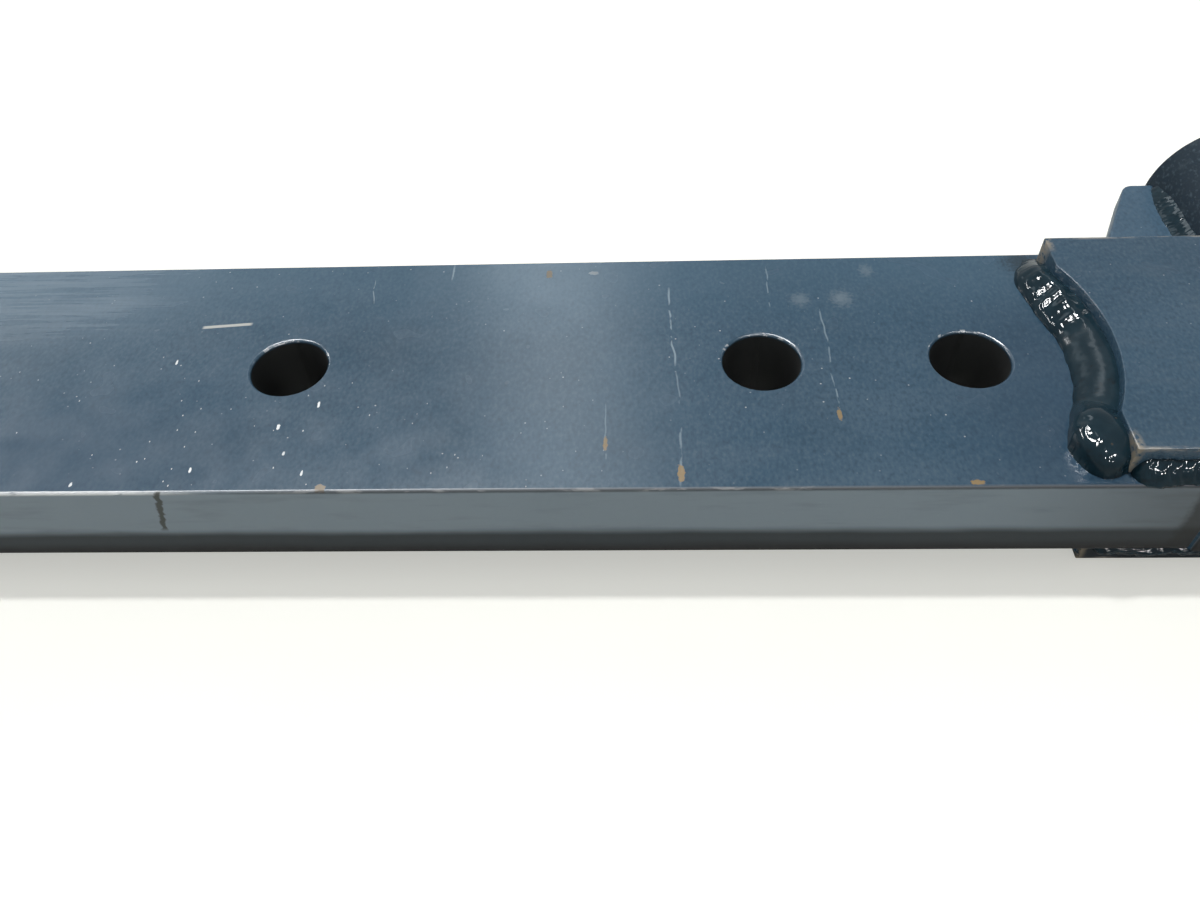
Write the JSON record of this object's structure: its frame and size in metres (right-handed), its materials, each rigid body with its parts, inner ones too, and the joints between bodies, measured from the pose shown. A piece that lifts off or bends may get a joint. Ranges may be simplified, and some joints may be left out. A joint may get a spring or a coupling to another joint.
{
  "type": "tractor lower link",
  "caption": "Telescopic tractor lower link: flat bar with cross-drilled holes, welded ball ends and a sliding rear end locked by a spring plunger in a side barrel.",
  "frame": {"origin": "centre of the front ball, on its bore's axis", "axes": "+X along the link from the front ball to the rear ball, +Y across the bar's width to the latch side, which is up in use, +Z through the bar's thickness along the ball bores"},
  "size_m": [0.951, 0.1303, 0.045],
  "materials": {
    "link_paint": "satin slate-blue paint over rolled steel",
    "weld_paint": "glossy slate-blue paint over weld beads",
    "bright_steel": "turned bare steel, lightly oiled",
    "spring_steel": "dark spring steel",
    "black_knob": "moulded black plastic"
  },
  "bodies": {
    "link": {"main_bar": "link_paint", "front_eye": "link_paint", "front_eye_weld": "weld_paint", "cheek_plate_top": "link_paint", "cheek_plate_bottom": "link_paint", "latch_side_spacer": "link_paint", "plain_side_spacer": "link_paint", "cheek_end_weld_top": "weld_paint", "cheek_end_weld_bottom": "weld_paint", "cheek_seam_welds_top": "weld_paint", "cheek_seam_welds_bottom": "weld_paint", "stop_pin": "link_paint", "stop_pin_welds": "weld_paint", "latch_barrel": "link_paint", "latch_barrel_weld": "weld_paint", "latch_gusset": "link_paint", "gusset_barrel_weld": "weld_paint", "gusset_foot_weld": "weld_paint", "latch_plug": "link_paint", "plug_ring": "spring_steel", "latch_spring": "spring_steel"},
    "front_ball": {"front_ball": "bright_steel"},
    "telescopic_end": {"sliding_bar": "link_paint", "rear_eye": "link_paint", "rear_eye_weld": "weld_paint"},
    "rear_ball": {"rear_ball": "bright_steel"},
    "latch": {"latch_plunger": "bright_steel", "latch_handle": "bright_steel", "handle_knob": "black_knob"}
  },
  "joints": [
    {"name": "front_ball_swivel", "type": "hinge", "parent": "link", "child": "front_ball", "pos_m": [0, 0, 0], "axis": [0, 1, 0], "range_deg": [-20, 20]},
    {"name": "end_slide", "type": "slide", "parent": "link", "child": "telescopic_end", "axis": [1, 0, 0], "range_m": [0, 0.08]},
    {"name": "rear_ball_swivel", "type": "hinge", "parent": "telescopic_end", "child": "rear_ball", "pos_m": [0.863, 0, 0], "axis": [0, 1, 0], "range_deg": [-20, 20]},
    {"name": "latch_plunge", "type": "slide", "parent": "link", "child": "latch", "axis": [0, 1, 0], "range_m": [-0.014, 0], "deforming": ["latch_spring"]}
  ]
}
